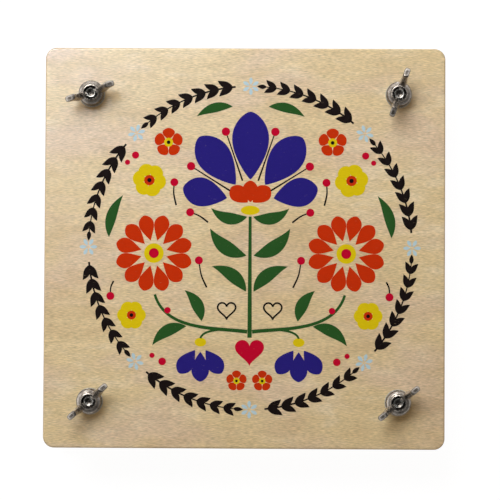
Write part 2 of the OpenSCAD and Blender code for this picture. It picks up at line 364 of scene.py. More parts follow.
printDesign = {
    "middle": np.array([2.8, 0.2]),    # from the board's own middle
    "outerRadius": 86.0, "innerRadius": 75.5,    # the laurel ring lies between these
    "segments": 8, "leafPairs": 7, "leafLength": 8.8, "leafWidth": 3.4, "leafTilt": 27.0,
    "leafFoot": 0.9, "leafBow": 0.07, "firstLeaf": 0.12, "dwindle": 0.2,
    "twig": (1.0, 0.5), "twigEnd": 0.5, "stalk": (0.9, 0.6),    # widths at both ends, and an angle
    "tipLeaf": (-0.2, 3.2, 2.2),    # its two angles and its width
    "starRadius": 4.4, "starPetals": 6, "starInner": 0.7, "starWidth": 1.7, "starGap": 3.2,
    # forms: where a leaf or petal is fullest, and how blunt its ends are
    "leafForm": (0.42, 0.9), "starForm": (0.6, 0.7), "fanForm": (0.6, 0.6), "sideForm": (0.66, 0.6),
    "bellForm": (0.62, 0.62), "smallForm": (0.6, 0.55),
    "smallInner": 0.22, "smallWidth": 0.86, "smallRing": 0.62, "smallEye": 0.26,    # of the radius
    "heart": ((0, -51.5), 14.5), "smallHearts": ((-11.5, -31.0), (11.5, -31.0)), "smallHeart": 9.0,
    "heartLine": 0.45, "axisReach": 0.001,
    "inkThick": 0.03, "levelStep": 0.02, "hair": 0.001, "hairSteps": 19, "thinnest": 0.03,
    "inkRough": 0.5, "inkSheen": 0.08, "inkShade": 0.9, "shadeRange": (0.3, 0.7),
    "thinRange": (0.33, 0.25, 0.0, 0.3), "relief": 0.04,
    "blue": paint(38, 29, 112), "orange": paint(196, 48, 8), "crimson": paint(190, 6, 42),
    "yellow": paint(219, 191, 14), "green": paint(38, 79, 32), "black": paint(14, 6, 5),
    "sky": paint(180, 204, 208),
}


def spread(count):
    # numbers from 0 to 1 that crowd towards both ends, as the cosine of an even angle does
    return (1 - np.cos(np.linspace(0, math.pi, count))) / 2


def polar(angle, radius):
    # the point at an angle in degrees and a distance from the middle
    return np.array([math.cos(math.radians(angle)), math.sin(math.radians(angle))]) * radius


def blade(start, tip, width, bow=0.0, fullest=0.45, blunt=1.0, count=26):
    # A leaf or petal. Its spine goes from start to tip and bows aside by a parabola. Its half width is
    # a sine with the crest moved to the fullest place, raised to a power that is under 1 for round ends.
    t = spread(count)[:, None]
    start, tip = np.array(start, float), np.array(tip, float)
    along = tip - start
    aside = np.array([-along[1], along[0]])
    spine = start + along * t + aside * bow * 4 * t * (1 - t)
    crest = math.log(0.5) / math.log(fullest)
    return spine, width / 2 * np.sin(math.pi * t[:, 0] ** crest).clip(0) ** blunt


def oval(middle, length, width, count=22):
    # an ellipse: the half width is that of a circle at each place along the spine
    t = spread(count)
    return middle + np.outer(t - 0.5, [length, 0]), width * np.sqrt((t * (1 - t)).clip(0))


def stem(points, startWidth, endWidth, count=30):
    # a cubic curve led by four points, with a width that runs evenly from one end to the other
    a, b, c, d = (np.array(p, float) for p in points)
    t = np.linspace(0, 1, count)[:, None]
    spine = (1 - t) ** 3 * a + 3 * t * (1 - t) ** 2 * b + 3 * t ** 2 * (1 - t) * c + t ** 3 * d
    return spine, (startWidth + (endWidth - startWidth) * t[:, 0]) / 2


def arc(radius, first, last, startWidth, endWidth, count=40):
    # a line that follows a circle round the middle of the design
    angles = np.radians(np.linspace(first, last, count))
    spine = radius * np.column_stack([np.cos(angles), np.sin(angles)])
    return spine, np.linspace(startWidth, endWidth, count) / 2


def petals(middle, count, inner, outer, width, turn, fullest, blunt):
    # petals fanned out evenly round a middle, from the inner to the outer radius
    ways = [polar(turn + 360 * n / count, 1.0) for n in range(count)]
    return [blade(middle + w * inner, middle + w * outer, width, 0, fullest, blunt) for w in ways]


def heartRim(middle, size, count=64):
    # the classic heart: x follows the cube of a sine, y a sum of four cosines
    t = fullTurn(count)
    y = 13 * np.cos(t) - 5 * np.cos(2 * t) - 2 * np.cos(3 * t) - np.cos(4 * t)
    return middle + np.column_stack([16 * np.sin(t) ** 3, y]) * size / 32


def mirrored(shapes):
    # each shape and its twin across the upright axis, unless its own middle lies there
    return [(spine * [way, 1], half) for spine, half in shapes
            for way in ((1, -1) if spine[:, 0].mean() > printDesign["axisReach"] else (1,))]


def laurelRing():
    # leaves in pairs along a thin stem, in segments parted by pale stars of six petals
    d = printDesign
    middle = (d["outerRadius"] + d["innerRadius"]) / 2
    step = 360 / d["segments"]
    gap = math.degrees((d["starRadius"] + d["starGap"]) / middle)
    tipStart, tipEnd, tipWidth = d["tipLeaf"]
    black, sky = [], []
    for n in range(d["segments"]):
        centre = 90 + step * n
        sky += petals(polar(centre, middle), d["starPetals"], d["starInner"], d["starRadius"],
                      d["starWidth"], centre, *d["starForm"])
        first, last = centre + gap, centre + step - gap
        ends = polar(last + tipStart, middle), polar(last + tipEnd, middle)
        twig = arc(middle, first, last + d["twigEnd"], *d["twig"])
        black += [twig, blade(*ends, tipWidth, 0, *d["leafForm"])]
        for k in range(d["leafPairs"]):
            angle = first + (last - first) / d["leafPairs"] * (k + d["firstLeaf"])
            size = 1 - d["dwindle"] * k / d["leafPairs"]
            for side in (1, -1):
                way = angle + 90 - side * d["leafTilt"]
                foot = polar(angle, middle)
                ends = foot + polar(way, d["leafFoot"]), foot + polar(way, d["leafLength"] * size)
                black.append(blade(*ends, d["leafWidth"] * size, d["leafBow"] * side, *d["leafForm"]))
    return black, sky


def bouquet():
    # every entry is an ink, its level in the order of printing, and its shapes on the right or the axis
    d, layers = printDesign, []

    def put(ink, level, *shapes):
        layers.append((ink, level, mirrored(shapes)))

    # the great fan blossom on the axis, with its stamens and calyx
    base = np.array([0, 22.0])
    for angle, outer, width in ((90, 46, 18.5), (52, 42, 17), (13, 34.5, 14.5)):
        put("blue", 0, blade(base + polar(angle, 12), base + polar(angle, outer), width, 0, *d["fanForm"]))
    for angle, outer in ((71, 36), (32, 33)):
        lead = [base + polar(angle, r) for r in (12, 18, 24, outer)]
        put("black", 0, stem(lead, *d["stalk"]))
        put("crimson", 1, oval(base + polar(angle, outer + 2), 4.2, 4.2))
    put("orange", 0, blade(base + [0, 0.6], base + [0, 11.5], 7.6, 0, *d["fanForm"]))
    put("orange", 0, blade(base + polar(24, 1.4), base + polar(40, 12.6), 8.6, 0, *d["fanForm"]))
    put("yellow", 0, oval(base + [0, -3.4], 9.4, 4.6))
    put("green", 0, blade([1.5, 15.4], [19.5, 19.6], 6.0, -0.16))
    # the main stem and its leaves
    put("green", 0, stem([[0, -45], [0, -24], [0, -6], [0, 15.5]], 2.2, 1.5))
    put("green", 0, blade([1.8, -4], [20, 9.5], 7.2, -0.13), blade([1.9, -22], [19, -9.5], 6.6, 0.12))
    # round blossoms at the sides: many narrow petals round a ring and an eye
    side = np.array([48.0, -3.0])
    put("orange", 0, *petals(side, 12, 6.4, 19.4, 7.6, 15, *d["sideForm"]))
    put("yellow", 0, oval(side, 9.8, 9.8))
    put("crimson", 1, oval(side, 5.0, 5.0))
    put("green", 0, stem([[1.2, -42], [17, -40], [42, -42], [47.4, -23.6]], 1.9, 1.3))
    put("green", 0, blade([24, -36.8], [32.5, -21.5], 6, 0.12), blade([31.5, -39.4], [48.5, -49], 6, 0.14))
    # bell blossoms that hang low
    bell = np.array([24.5, -47.5])
    for angle, outer, width in ((-90, 19.5, 8.8), (-55, 18.6, 8.4), (-125, 18.6, 8.4)):
        put("blue", 0, blade(bell + polar(angle, 4.6), bell + polar(angle, outer), width, 0, *d["bellForm"]))
    put("yellow", 0, oval(bell + [0, 0.2], 5.8, 4.4))
    put("green", 0, stem([[12, -40.8], [18, -41.2], [23.5, -42], [24.5, -45.4]], 1.2, 1.0))
    # small blossoms in the free corners: petals round a ring and an eye
    for middle, radius, count, turn, ink, ring in (
        ([50.5, 33.5], 8.4, 6, 10, "yellow", "orange"), ([41, 52.5], 7.2, 5, 18, "orange", "yellow"),
        ([59, -34], 7.2, 6, 0, "yellow", "orange"), ([6.4, -66.5], 5.2, 5, 90, "orange", "yellow"),
    ):
        inner, width = radius * d["smallInner"], radius * d["smallWidth"]
        put(ink, 0, *petals(middle, count, inner, radius, width, turn, *d["smallForm"]))
        put(ring, 1, oval(middle, radius * d["smallRing"], radius * d["smallRing"]))
        put("black", 2, oval(middle, radius * d["smallEye"], radius * d["smallEye"]))
    # leaves that follow the ring, and berries on thin stalks
    put("green", 0, blade([70.5, 5], [63.5, 26], 5.2, -0.1), blade([9, 70.5], [27, 65.5], 4.8, 0.1))
    for root, lead, end in (
        ([21, 12.5], [25.5, 16], [30, 17.5]), ([37, 21], [38.5, 27], [38, 32.5]),
        ([21.5, -20], [24.5, -14], [25.5, -6.5]), ([68, -17], [69.6, -20], [69.6, -24.5]),
    ):
        put("black", 0, stem([root, lead, lead, end], *d["stalk"]))
        put("crimson", 1, oval(end, 4.0, 4.0))
    put("crimson", 1, oval([57.5, 46], 3.6, 3.6), oval([61.5, 42.4], 2.6, 2.6), oval([41, -31.5], 3.2, 3.2),
        oval([43.5, -57], 3.8, 3.8), oval([48.6, -54], 2.6, 2.6))
    return layers


def inkSlab(spine, half, low, high):
    # a flat ribbon with a rectangular section, carried along the spine and closed at both ends
    way = np.gradient(spine, axis=0)
    way /= np.linalg.norm(way, axis=1)[:, None]
    half = np.maximum(half, printDesign["thinnest"])
    side = np.column_stack([-way[:, 1], way[:, 0]]) * half[:, None]
    flat = np.stack([spine - side, spine + side, spine + side, spine - side], axis=1)
    height = np.broadcast_to([low, low, high, high], flat.shape[:2])
    return shell(np.dstack([flat, height]))


def rimSlab(rim, low, high):
    # A flat slab inside a closed rim that can be seen whole from its middle, with a ring halfway there.
    middle = rim.mean(axis=0)
    rings = [middle + (rim - middle) * share for share in (0.5, 1.0, 1.0, 0.5)]
    height = np.repeat([low, low, high, high], len(rim)).reshape(4, len(rim), 1)
    return shell(np.dstack([np.stack(rings), height]))


def inkMaterial(name, colour):
    # screen ink on the board: the wood's own fibres show through, as a bump and as thin places
    d = printDesign
    material, n = newMaterial(name, {"Specular IOR Level": d["inkSheen"]})
    place = grain(n, "top_board")
    place["z"] = n.calc("MINIMUM", place["z"], topFace)
    streaks = fibres(n, place)
    shaded = [c * d["inkShade"] for c in colour[:3]] + [1.0]
    shade = n.blend(n.between(streaks, *d["shadeRange"]), shaded, colour)
    shade = n.blend(n.between(streaks, *d["thinRange"]), shade, birchPly["body"])
    n.finish(shade, streaks, d["relief"], d["inkRough"])
    return material


def printBoard():
    d = printDesign
    black, sky = laurelRing()
    layers = bouquet() + [("black", 0, black), ("sky", 0, sky)]
    bottom, inkTop = topFace - d["inkThick"], topFace + d["inkThick"]
    shells = {}
    for ink, level, shapes in layers:
        for spine, half in shapes:
            # shapes of one ink differ by a hair in height, so that no two share a face
            parts = shells.setdefault(ink, [])
            top = inkTop + level * d["levelStep"] + d["hair"] * (len(parts) % d["hairSteps"])
            parts.append(inkSlab(spine + d["middle"], half, bottom, top))
    heartMiddle, heartSize = d["heart"]
    shells["crimson"].append(rimSlab(heartRim(d["middle"] + heartMiddle, heartSize), bottom, inkTop))
    for middle in d["smallHearts"]:
        rim = heartRim(middle, d["smallHeart"])
        outline = np.vstack([rim, rim[:1]]) + d["middle"]
        shells["black"].append(inkSlab(outline, np.full(len(outline), d["heartLine"]), bottom, inkTop))
    for ink, parts in shells.items():
        material = inkMaterial("screen ink, " + ink, d[ink])
        makePiece("print_" + ink, parts, material, "top_board")
    print("print made")


printBoard()


# Metal finishes

metalSkin = {
    "skin": (4.0, 0.6), "cloud": (0.22, 3.0, 0.55), "stain": (2.0, 0.5),
    "cloudRange": (0.38, 0.62), "edgeRange": (0.505, 0.56), "hollowRange": (0.475, 0.42, 0.0, 0.7),
    "stainRange": (0.47, 0.68, 0.0), "skinRange": (0.3, 0.7),
}


def metalMaterial(name, look):
    # cast or plated metal: a skin of noise, brighter on worn edges, darker in the hollows and stained
    # in soft spots, with the piece's own wear, which also paints shade and highlights in places
    common = metalSkin
    material, n = newMaterial(name, {"Metallic": 1.0})
    place = n.vector(*n.place())
    skin = n.noise(place, look["skinScale"], *common["skin"])
    cloud = n.noise(place, *common["cloud"])
    edge = n.add("NewGeometry").outputs["Pointiness"]
    colour = n.blend(n.between(cloud, *common["cloudRange"]), look["dull"], look["body"])
    colour = n.blend(n.between(edge, *common["edgeRange"]), colour, look["wornAndHighlight"])
    colour = n.blend(n.between(edge, *common["hollowRange"]), colour, look["dirtAndShade"])
    # the piece's wear attribute: real wear and dirt, and painted shade and painted highlights where its
    # tables put them
    wearAndPaintedLight = n.add("Attribute", attribute_name="wearAndPaintedLight").outputs["Fac"]
    colour = n.blend(n.times(wearAndPaintedLight, -1.0), colour, look["wornAndHighlight"])
    colour = n.blend(wearAndPaintedLight, colour, look["dirtAndShade"])
    stain = n.noise(place, look["stainScale"], *common["stain"])
    stain = n.between(stain, *common["stainRange"], look["stain"])
    colour = n.blend(stain, colour, look["dirtAndShade"])
    rough = n.between(skin, *common["skinRange"], look["smooth"], look["rough"])
    n.finish(colour, skin, look["bump"], rough)
    return material


castZinc = metalMaterial("cast zinc, tumbled", {
    "body": paint(183, 174, 165), "dull": paint(150, 141, 131), "wornAndHighlight": paint(208, 201, 191),
    "dirtAndShade": paint(36, 29, 25), "smooth": 0.19, "rough": 0.34, "skinScale": 1.1, "bump": 0.05,
    "stainScale": 0.55, "stain": 0.42,
})
boltSteel = metalMaterial("zinc plated steel, bolts", {
    "body": paint(160, 155, 147), "dull": paint(122, 116, 108), "wornAndHighlight": paint(210, 207, 200),
    "dirtAndShade": paint(30, 24, 21), "smooth": 0.2, "rough": 0.34, "skinScale": 2.2, "bump": 0.01,
    "stainScale": 0.9, "stain": 0.15,
})
washerSteel = metalMaterial("zinc plated steel, washers", {
    "body": paint(140, 136, 129), "dull": paint(114, 109, 102), "wornAndHighlight": paint(178, 174, 167),
    "dirtAndShade": paint(58, 50, 44), "smooth": 0.24, "rough": 0.38, "skinScale": 2.2, "bump": 0.012,
    "stainScale": 0.9, "stain": 0.2,
})


# Wing nuts: a turned boss and two lofted wings, as in the CAD model but with finer steps, a casting
# seam, a fillet at each root, a thread in the bore, and painted shade and painted reflections on the metal

wingNut = {
    "footRadius": 6.2, "wallHeight": 5.2, "footBevel": 0.31, "height": 7.5, "topRound": 0.6,
    "boreRadius": 3.05, "wall": 1.2, "mouth": 0.35, "lean": 0.15, "slope": 0.35, "collarFillet": 0.22,
    "edgeRadius": 0.08, "roundEnd": 0.35, "pitch": 1.0, "threadDepth": 0.3,
    "span": 25.4, "wingHeight": 15.0, "rootInset": 0.35, "rootHeight": 6.0, "rootThick": 4.2,
    "waistWidth": 4.9, "waistThick": 2.6, "waistShare": 0.5, "earWidth": 5.6, "earThick": 2.9,
    "earLean": 62.0, "capShare": 0.2, "capRings": (0.27, 0.18, 0.09), "squareness": 4.0,
    "filletThick": 1.1, "filletReach": 0.9, "seamHeight": 0.07, "seamWidth": 0.2, "seamFrom": 2.5,
    # numbers of points and rings
    "bossCount": 72, "turnSteps": 8, "shoulderSteps": 22, "filletSteps": 3, "roundSteps": 7,
    "wingCount": 48, "wingRings": 46, "capSteps": 13,
    # wear and painted light over a distance from the axis, or over the width that is left of the ear's cap
    # painted shade: dark in the bore, at the collar's foot and on the side wall; the collar itself is worn
    # bright
    "bossWearAndShade": ((3.38, 1.0), (3.5, 0.1), (3.9, -0.1), (4.25, 0.55), (4.7, 0.0), (5.7, 0.1), (6.1, 0.8)),
    # painted shade: a little darker at the root, where the wing meets the boss; worn brighter further out
    "wingWearAndPaintedLight": ((5.5, 0.1), (6.6, -0.15), (8.6, -0.2)),
    # painted reflection on each ear's cap: a dark middle, a bright ring that is partly worn metal and partly
    # painted highlight, and painted shade at its edge
    "capWearAndReflection": ((0.1, 0.6), (0.4, 0.45), (0.53, -0.6), (0.68, -1.0), (0.78, 0.0), (0.88, 0.7)),
    "wingsFrom": 9.0, "sharpAngle": 40,
}


def wearAndLightAt(places, table):
    # the wear and painted light at each place, straight between the entries of its table
    return np.interp(places, *zip(*table))


metricThread = {"flat": 0.15, "flank": 0.6}    # of half a turn


def threadWave(phase):
    # one turn of thread, from 0 to 1: a flat crest, two straight flanks and a flat root
    fold = np.abs((phase % 1.0) * 2 - 1)
    return ((fold - metricThread["flat"]) / metricThread["flank"]).clip(0, 1)


def nutBoss(d):
    # The profile runs up the bore, over the collar, down the shoulder and wall and back under the foot.
    # In the bore the radius also follows the thread's wave, which climbs one pitch a turn.
    topRadius = d["boreRadius"] + d["wall"]
    mouthRadius = d["boreRadius"] + d["mouth"]
    collar = d["height"] - d["topRound"]
    wallFoot, wallTop = [d["footRadius"], d["footBevel"]], [d["footRadius"], d["wallHeight"]]
    shoulderTop = np.array([topRadius, collar])
    pull = [d["footRadius"] - d["lean"] * (d["footRadius"] - topRadius),
            collar - d["slope"] * (collar - d["wallHeight"])]
    steps = np.linspace(0, 1, d["shoulderSteps"])
    shoulder = bent(shoulderTop, np.array(pull), np.array(wallTop), steps)[0][d["filletSteps"]:]
    angle = np.linspace(math.pi / 2, d["roundEnd"], d["roundSteps"])
    top = shoulderTop + d["topRound"] * np.column_stack([np.cos(angle) - 1, np.sin(angle)])
    fillet = softened([top[-1], shoulderTop, shoulder[0]], d["collarFillet"])[1:-1]
    bevel = [d["footRadius"] - d["footBevel"], 0.0]
    foot = softened([wallTop, wallFoot, bevel, [mouthRadius, 0.0]], d["edgeRadius"])[1:]
    boreZ = np.arange(d["mouth"], d["height"] - d["mouth"], d["pitch"] / d["turnSteps"])
    bore = np.column_stack([np.full(len(boreZ), d["boreRadius"]), boreZ])
    profile = np.vstack([bore, [[mouthRadius, d["height"]]], top, fillet, shoulder, foot])
    radius, z = profile[:, :1], profile[:, 1:]
    inBore = (np.arange(len(profile)) < len(bore))[:, None]
    wave = threadWave(z / d["pitch"] - fullTurn(d["bossCount"]) / (2 * math.pi)) * inBore
    grid = revolved(radius + wave * d["threadDepth"], z, d["bossCount"])
    # the boss's table paints shade into the bore and onto the side wall
    return grid, ringWearAndLight(wearAndLightAt(profile[:, 0], d["bossWearAndShade"]), d["bossCount"], "joined")


def rounded(x, squareness):
    # a sine or cosine raised to 2 over the squareness with its sign kept, which draws a superellipse
    return np.sign(x) * np.abs(x) ** (2 / squareness)


def reach(along, across, squareness):
    # how far a tilted superellipse reaches in a direction, from its half axes' shares in it
    power = squareness / (squareness - 1)
    return (along ** power + across ** power) ** (1 / power)


def nutWing(d):
    # Superellipse rings on a bent spine narrow to a waist and swell to the ear. The cap's rings follow the
    # same superellipse, and the capRings lie flat inside. The ear is set back from the span and height
    # by its reach.
    squareness = d["squareness"]
    capHeight, halfEar = d["capShare"] * d["earWidth"], d["earWidth"] / 2
    earWay = polar(d["earLean"], 1.0)
    root = np.array([d["boreRadius"] + d["rootInset"], d["height"] / 2])
    ear = np.array([d["span"] / 2 - reach(capHeight * earWay[0], halfEar * earWay[1], squareness),
                    d["wingHeight"] - reach(capHeight * earWay[1], halfEar * earWay[0], squareness)])
    bend = np.array([ear[0] - (ear[1] - root[1]) * earWay[0] / earWay[1], root[1]])
    u = np.linspace(0, 1, d["wingRings"])
    spine, way = bent(root, bend, ear, u)

    def swell(start, waist, end):
        # falls by a square to the waist, then rises by a squared sine to the ear
        share = d["waistShare"]
        fall = (start - waist) * (1 - u / share) ** 2
        rise = (end - waist) * np.sin(math.pi / 2 * ((u - share) / (1 - share)).clip(0)) ** 2
        return waist + np.where(u < share, fall, rise)

    tall = swell(d["rootHeight"], d["waistWidth"], d["earWidth"])
    thick = swell(d["rootThick"], d["waistThick"], d["earThick"])
    # the cast fillet at the root fades away from the boss, as a falling power of e
    outside = (spine[:, 0] - d["footRadius"]).clip(0)
    thick = thick + d["filletThick"] * np.exp(-outside / d["filletReach"])
    wearAndPaintedLight = wearAndLightAt(spine[:, 0], d["wingWearAndPaintedLight"])
    capAngle = np.linspace(0, math.pi / 2, d["capSteps"])[1:-1]
    left = np.append(rounded(np.cos(capAngle), squareness), d["capRings"])
    rise = np.append(rounded(np.sin(capAngle), squareness), np.ones(len(d["capRings"])))
    spine = np.vstack([spine, ear + np.outer(capHeight * rise, earWay)])
    way = np.vstack([way, np.tile(earWay, (len(rise), 1))])
    tall = np.concatenate([tall, d["earWidth"] * left])
    thick = np.concatenate([thick, d["earThick"] * left])
    # the caps get a painted reflection: a dark middle, a bright ring that is partly worn, and painted shade
    # at their edge
    wearAndPaintedLight = np.concatenate([wearAndPaintedLight, wearAndLightAt(left, d["capWearAndReflection"])])
    a = fullTurn(d["wingCount"])
    across = np.outer(tall / 2, rounded(np.cos(a), squareness))
    side = np.outer(thick / 2, rounded(np.sin(a), squareness))
    # the seam of the two mould halves is a bell curve along the middle of both edges
    seam = d["seamHeight"] * np.exp(-(side / d["seamWidth"]) ** 2)
    across += np.sign(np.cos(a)) * seam * (tall > d["seamFrom"])[:, None]
    grid = np.stack([spine[:, :1] - across * way[:, 1:], side, spine[:, 1:] + across * way[:, :1]], axis=-1)
    return grid, ringWearAndLight(wearAndPaintedLight, d["wingCount"])


def nutTurn(corner):
    # the angle of the wings: the long axis of the CAD nut's outer points, from their second moments
    x, y = (nodePoints("wing_nut_" + corner)[:, :2] - boltAxis(corner)).T
    far = x * x + y * y > wingNut["wingsFrom"] ** 2
    return 0.5 * math.atan2(2 * (x[far] * y[far]).sum(), (x[far] ** 2 - y[far] ** 2).sum())


def placed(grid, turn, middle, lift):
    # a grid turned about the upright axis and set down at a bolt
    c, s = math.cos(turn), math.sin(turn)
    x, y, z = np.moveaxis(grid, -1, 0)
    return np.stack([c * x - s * y + middle[0], s * x + c * y + middle[1], z + lift], axis=-1)


boss, bossWearAndShade = nutBoss(wingNut)
wing, wingWearAndPaintedLight = nutWing(wingNut)
for corner in corners:
    node = "wing_nut_" + corner
    axis, turn, foot = boltAxis(corner), nutTurn(corner), nodeBox(node)[0][2]
    parts = [shell(placed(boss, turn, axis, foot), "joined")]
    parts += [shell(placed(wing, turn + half, axis, foot)) for half in (0, math.pi)]
    makePiece("cast_" + node, parts, castZinc, node, [node], wingNut["sharpAngle"],
              [bossWearAndShade, wingWearAndPaintedLight, wingWearAndPaintedLight])
    dress("washer_" + corner, washerSteel)
print("wing nuts and washers made")


# Carriage bolts: a domed head, a square neck and a threaded shank with a cupped end

carriageBolt = {
    "radius": 3.0, "pitch": 1.0, "threadDepth": 0.6, "chamfer": 0.65, "cupDepth": 0.4, "cupShare": 0.62,
    "headRadius": 8.0, "headHeight": 3.4, "rimHeight": 0.7, "rimRound": 0.2,
    "neckHeight": 4.0, "neckSide": 6.0, "squareness": 14, "overlap": 0.5,
    "neckTaper": ((0.35, 1.0), (0.12, 0.985), (0.0, 0.93)),    # below the neck's top, share of the side
    # numbers of points and rings
    "shankCount": 44, "turnSteps": 10, "endGap": 0.02, "cupRings": (0.97, 0.9, 0.75, 0.55, 0.3),
    "neckCount": 64, "headCount": 72, "domeRings": 16, "domeStart": 0.4,
    # wear from the bottom of the cup to its rim, and down from the end along the threads, with painted shade
    # where the thread runs into the nut
    "cupWear": ((0.6, 0.8), (0.9, 0.5), (1.0, 0.15)),
    # painted shade: the thread darkens just below its end, where it runs into the nut's bore, and fades
    # further down
    "threadShadeAndDirt": ((0.0, 0.0), (0.4, 0.1), (0.7, 1.0), (1.4, 0.3), (2.5, 0.1)),
    "sharpAngle": 40,
}


def boltShank(d, low, end):
    # The radius follows the thread's wave, which climbs one pitch a turn, and is held under the
    # chamfer's cone. Inside the end plane the surface dips as a parabola's bowl.
    z = np.append(np.arange(low, end - d["endGap"], d["pitch"] / d["turnSteps"]), end)[:, None]
    count = d["shankCount"]
    wave = threadWave(z / d["pitch"] - fullTurn(count) / (2 * math.pi))
    radius = d["radius"] - d["threadDepth"] * (1 - wave)
    radius = np.minimum(radius, d["radius"] - d["chamfer"] - z + end)
    shares = np.array((1.0,) + d["cupRings"])
    cup = np.outer(shares * (d["cupShare"] * d["radius"]), np.ones(count))
    dip = d["cupDepth"] * (1 - shares ** 2)
    # the threads' table holds painted shade where the shank runs into the nut; the cup's is the bare cut end
    wearAndPaintedLight = np.concatenate([wearAndLightAt(end - z[:, 0], d["threadShadeAndDirt"]), wearAndLightAt(shares, d["cupWear"])])
    grid = revolved(np.vstack([radius, cup]), np.vstack([z, (end - dip)[:, None]]), count)
    return grid, ringWearAndLight(wearAndPaintedLight, count)


def boltNeck(d, low, high):
    # a square with softened corners, as a superellipse of high power, drawn in where it meets the shank
    turn, power = fullTurn(d["neckCount"]), d["squareness"]
    square = (np.abs(np.cos(turn)) ** power + np.abs(np.sin(turn)) ** power) ** (-1 / power)
    below, share = np.array(d["neckTaper"]).T
    radius = d["neckSide"] / 2 * square * np.append(1.0, share)[:, None]
    return revolved(radius, np.append(low, high - below)[:, None], d["neckCount"])


def boltHead(d, low):
    # a cap of a sphere that faces down, with a rounded rim under the flat seat
    domeHeight = d["headHeight"] - d["rimHeight"]
    sphere = (d["headRadius"] ** 2 + domeHeight ** 2) / (2 * domeHeight)
    r = np.linspace(d["domeStart"], d["headRadius"], d["domeRings"])
    dome = np.column_stack([r, low + sphere - np.sqrt(sphere ** 2 - r ** 2)])
    seat = low + d["headHeight"]
    rim = softened([dome[-1], [d["headRadius"], seat], [d["radius"], seat]], d["rimRound"])[1:]
    profile = np.vstack([dome, rim])
    return revolved(profile[:, :1], profile[:, 1:], d["headCount"])


def makeBolt(d, corner):
    node = "carriage_bolt_" + corner
    low, high = nodeBox(node)
    seat = low[2] + d["headHeight"]
    neckTop = seat + d["neckHeight"]
    shank, shankWearAndShade = boltShank(d, neckTop - d["overlap"], high[2])
    grids = boltHead(d, low[2]), boltNeck(d, seat - d["overlap"], neckTop), shank
    parts = [shell(placed(grid, 0.0, boltAxis(corner), 0.0)) for grid in grids]
    wearAndPaintedLight = [np.zeros(len(points)) for points, quads, fans in parts[:2]] + [shankWearAndShade]
    makePiece("threaded_bolt_" + corner, parts, boltSteel, "base", [node],
              d["sharpAngle"], wearAndPaintedLight)


for corner in corners:
    makeBolt(carriageBolt, corner)
print("bolts made")


# Corrugated cards

kraftCard = {
    "body": paint(178, 140, 98), "pale": paint(196, 160, 118), "dark": paint(142, 106, 70),
    "pulp": (0.45, 5.0, 0.65), "pulpRange": (0.36, 0.64), "pulpRelief": 0.4,
    "flecks": (1.9, 2.0, 0.5), "fleckRange": (0.64, 0.7, 0.0, 0.45), "seedStep": 31.0,
    "waveLength": 6.6, "waveRange": (-1.0, 1.0, 0.0, 0.14), "waveRelief": 0.5, "flatRange": (0.9, 0.99),
    "rough": 0.86, "relief": 0.08,
}


def kraftMaterial(name, seed):
    # brown liner paper with flecks of fibre, and faint bands where the flutes lie under it
    look = kraftCard
    material, n = newMaterial(name)
    x, y, z = n.place()
    place = n.vector(n.plus(x, seed), y, z)
    pulp = n.noise(place, *look["pulp"])
    fleck = n.between(n.noise(place, *look["flecks"]), *look["fleckRange"])
    flute = n.calc("SINE", n.times(x, 2 * math.pi / look["waveLength"]))
    facing = n.split(n.add("TexCoord").outputs["Normal"])[2]
    flat = n.between(n.calc("ABSOLUTE", facing), *look["flatRange"])
    colour = n.blend(n.between(pulp, *look["pulpRange"]), look["body"], look["pale"])
    colour = n.blend(fleck, colour, look["dark"])
    band = n.times(n.between(flute, *look["waveRange"]), flat)
    colour = n.blend(band, colour, look["dark"])
    wave = n.times(n.times(flute, flat), look["waveRelief"])
    height = n.plus(n.times(pulp, look["pulpRelief"]), wave)
    n.finish(colour, height, look["relief"], look["rough"])
    return material


# Blotting papers: soft sheets with rounded, slightly uneven cut edges

blotter = {
    "body": paint(236, 231, 218), "shade": paint(219, 211, 193), "flatten": 2.0,
    "felt": (2.4, 5.0, 0.7), "feltRange": (0.42, 0.32), "cloud": (0.05, 3.0, 0.5), "cloudRange": (0.35, 0.65),
    "rough": 0.95, "relief": 0.06,
    "seed": 7, "waves": (3, 7, 16, 37), "waveSize": (0.1, 0.3), "unevenness": 0.14,
    "sideCount": 40, "rimRings": 9, "innerRing": 0.5, "outlineReach": 0.01, "sharpAngle": 60,
}


def blotterMaterial(name):
    # thick unsized paper: matt, with a felt of short fibres
    look = blotter
    material, n = newMaterial(name)
    x, y, z = n.place()
    place = n.vector(x, y, n.times(z, look["flatten"]))
    felt = n.noise(place, *look["felt"])
    cloud = n.noise(place, *look["cloud"])
    colour = n.blend(n.between(cloud, *look["cloudRange"]), look["shade"], look["body"])
    colour = n.blend(n.between(felt, *look["feltRange"]), colour, look["shade"])
    n.finish(colour, felt, look["relief"], look["rough"])
    return material


def octagon(node):
    # the corners of a sheet's outline, read from the CAD node's upper face, in order round the middle
    points = nodePoints(node)
    upper = points[:, 2] > points[:, 2].max() - blotter["outlineReach"]
    rim = np.unique(points[upper][:, :2].round(4), axis=0)
    return rim[np.argsort(np.arctan2(rim[:, 1], rim[:, 0]))]


